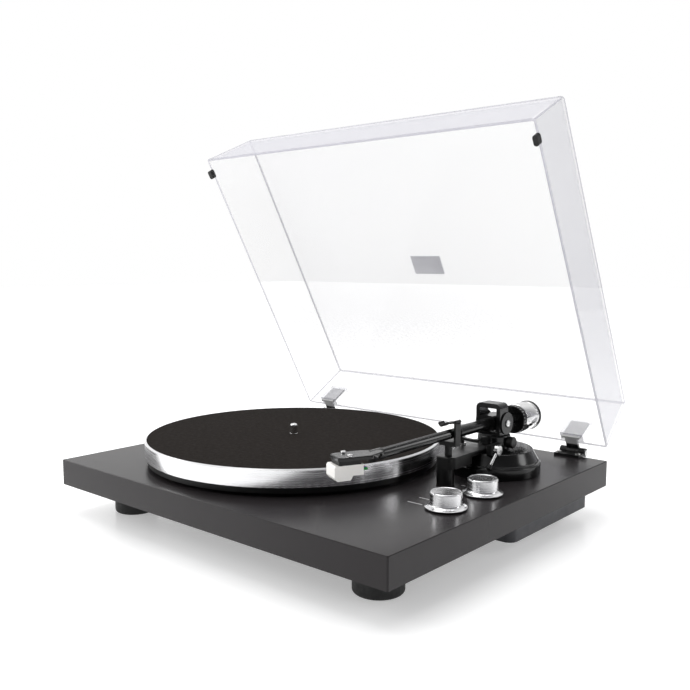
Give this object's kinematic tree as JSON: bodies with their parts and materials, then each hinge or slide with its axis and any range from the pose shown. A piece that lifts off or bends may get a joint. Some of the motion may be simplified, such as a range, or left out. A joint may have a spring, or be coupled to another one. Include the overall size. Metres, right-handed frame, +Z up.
{
  "type": "turntable record player",
  "caption": "Belt-drive record player: low plinth on round rubber feet, aluminium platter with a mat, straight tonearm with a counterweight, selector knobs and a hinged clear dust cover.",
  "frame": {"origin": "on the surface it stands on, in the middle of the footprint of the object with its cover open", "axes": "+Z up along the record spindle, -Y to the front, +X to the tonearm side"},
  "size_m": [0.42, 0.4198, 0.3982],
  "materials": {
    "plinth_finish": "satin",
    "black_board": "matt",
    "foot_rubber": "matt",
    "zinc_screws": "satin",
    "tray_plastic": "satin",
    "circuit_board": "satin",
    "components": "satin",
    "plated_contacts": "polished",
    "collar_plastic": "gloss",
    "black_plastic": "satin",
    "turned_brass": "turned",
    "bearing_steel": "ground",
    "motor_can": "satin",
    "belt_rubber": "matt",
    "white_print": "printed",
    "gloss_black": "gloss",
    "bright_metal": "polished",
    "polished_aluminium": "polished and turned",
    "mat_felt": "ribbed matt",
    "hub_plastic": "satin",
    "spun_aluminium": "spun",
    "clear_acrylic": "clear",
    "badge_plate": "satin",
    "cream_plastic": "satin",
    "weight_chrome": "polished",
    "dial_black": "satin"
  },
  "bodies": {
    "root": {"plinth": "plinth_finish", "bottom_cover": "black_board", "feet": "foot_rubber", "bottom_screws": "zinc_screws", "electronics_tray": "tray_plastic", "main_board": "circuit_board", "board_components": "components", "phono_sockets": "plated_contacts", "socket_collars": "collar_plastic", "dc_inlet": "black_plastic", "bearing_housing": "turned_brass", "thrust_ball": "bearing_steel", "deck_screws": "zinc_screws", "motor": "motor_can", "drive_belt": "belt_rubber", "rotary_switches": "components", "index_marks": "white_print", "hinge_bases": "black_plastic", "hinge_pins": "bearing_steel", "arm_base": "gloss_black", "arm_pillar": "gloss_black", "pillar_bearings": "bearing_steel", "rest_support": "black_plastic", "rest_cradle": "black_plastic", "lift_cylinder": "bright_metal", "cue_housing": "black_plastic"},
    "platter_assembly": {"platter": "polished_aluminium", "platter_skirt": "black_plastic", "platter_mat": "mat_felt", "drive_hub": "hub_plastic", "record_spindle": "bright_metal"},
    "pulley": {"motor_pulley": "turned_brass"},
    "front_selector": {"front_knob": "spun_aluminium"},
    "back_selector": {"back_knob": "spun_aluminium"},
    "switch_slider": {"level_slider": "black_plastic"},
    "anti_skate": {"anti_skate_knob": "black_plastic"},
    "lid": {"dust_cover": "clear_acrylic", "cover_badge": "badge_plate", "cover_buffers": "foot_rubber", "hinge_leaves": "black_plastic"},
    "arm_carrier": {"arm_yoke": "gloss_black", "pivot_screws": "bright_metal"},
    "arm": {"gimbal_block": "gloss_black", "arm_tube": "gloss_black", "headshell": "gloss_black", "finger_lift": "gloss_black", "cartridge_bracket": "black_plastic", "cartridge": "cream_plastic", "cartridge_screws": "bright_metal", "stylus": "black_plastic", "tail_shaft": "bright_metal"},
    "weight_carrier": {"weight_bush": "black_plastic"},
    "weight": {"counterweight": "weight_chrome", "weight_end_ring": "gloss_black"},
    "force_dial": {"weight_dial": "dial_black"},
    "latch": {"rest_latch": "black_plastic"},
    "lift": {"lift_bar": "black_plastic"},
    "cue": {"cue_lever": "weight_chrome", "cue_lever_tip": "black_plastic"}
  },
  "joints": [
    {"name": "lid_swing", "type": "hinge", "parent": "root", "child": "lid", "pos_m": [0, 0.1565, 0.0575], "axis": [1, 0, 0], "range_deg": [0, 60.8]},
    {"name": "platter_spin", "type": "hinge", "parent": "root", "child": "platter_assembly", "pos_m": [-0.0414, -0.0455, 0.07], "axis": [0, 0, 1], "continuous": true},
    {"name": "pulley_spin", "type": "hinge", "parent": "root", "child": "pulley", "pos_m": [-0.1277, -0.1318, 0.065], "axis": [0, 0, 1], "continuous": true},
    {"name": "front_knob_turn", "type": "hinge", "parent": "root", "child": "front_selector", "pos_m": [0.1777, -0.0919, 0.06], "axis": [0, 0, -1], "range_deg": [-30, 30]},
    {"name": "back_knob_turn", "type": "hinge", "parent": "root", "child": "back_selector", "pos_m": [0.1782, -0.0362, 0.06], "axis": [0, 0, -1], "range_deg": [0, 60]},
    {"name": "arm_swing", "type": "hinge", "parent": "root", "child": "arm_carrier", "pos_m": [0.141, 0.044, 0.09], "axis": [0, 0, -1], "range_deg": [0, 48.6]},
    {"name": "arm_tilt", "type": "hinge", "parent": "arm_carrier", "child": "arm", "pos_m": [0.141, 0.044, 0.1016], "axis": [-1, 0, 0], "range_deg": [-1.3, 2.4]},
    {"name": "weight_travel", "type": "slide", "parent": "arm", "child": "weight_carrier", "axis": [0, -1, 0], "range_m": [0, 0.008]},
    {"name": "weight_turn", "type": "hinge", "parent": "weight_carrier", "child": "weight", "pos_m": [0.141, 0.095, 0.0989], "axis": [0, 1, 0], "range_deg": [0, 1440]},
    {"name": "dial_turn", "type": "hinge", "parent": "weight", "child": "force_dial", "pos_m": [0.141, 0.08, 0.0989], "axis": [0, 1, 0], "continuous": true},
    {"name": "latch_swing", "type": "hinge", "parent": "root", "child": "latch", "pos_m": [0.1475, -0.0305, 0.1132], "axis": [0, 1, 0], "range_deg": [0, 165]},
    {"name": "cue_swing", "type": "hinge", "parent": "root", "child": "cue", "pos_m": [0.161, 0.014, 0.082], "axis": [-1, 0, 0], "range_deg": [0, 60]},
    {"name": "lift_rise", "type": "slide", "parent": "root", "child": "lift", "axis": [0, 0, 1], "range_m": [0, 0.0045]},
    {"name": "anti_skate_turn", "type": "hinge", "parent": "root", "child": "anti_skate", "pos_m": [0.16, 0.044, 0.084], "axis": [1, 0, 0], "range_deg": [0, 270]},
    {"name": "level_slide", "type": "slide", "parent": "root", "child": "switch_slider", "axis": [1, 0, 0], "range_m": [0, 0.0042]}
  ],
  "couplings": [
    {"joint": "pulley_spin", "follows": "platter_spin", "ratio": 15.079},
    {"joint": "weight_turn", "follows": "weight_travel", "rad_per_m": 3141.6},
    {"joint": "cue_swing", "follows": "lift_rise", "rad_per_m": 232.71}
  ]
}
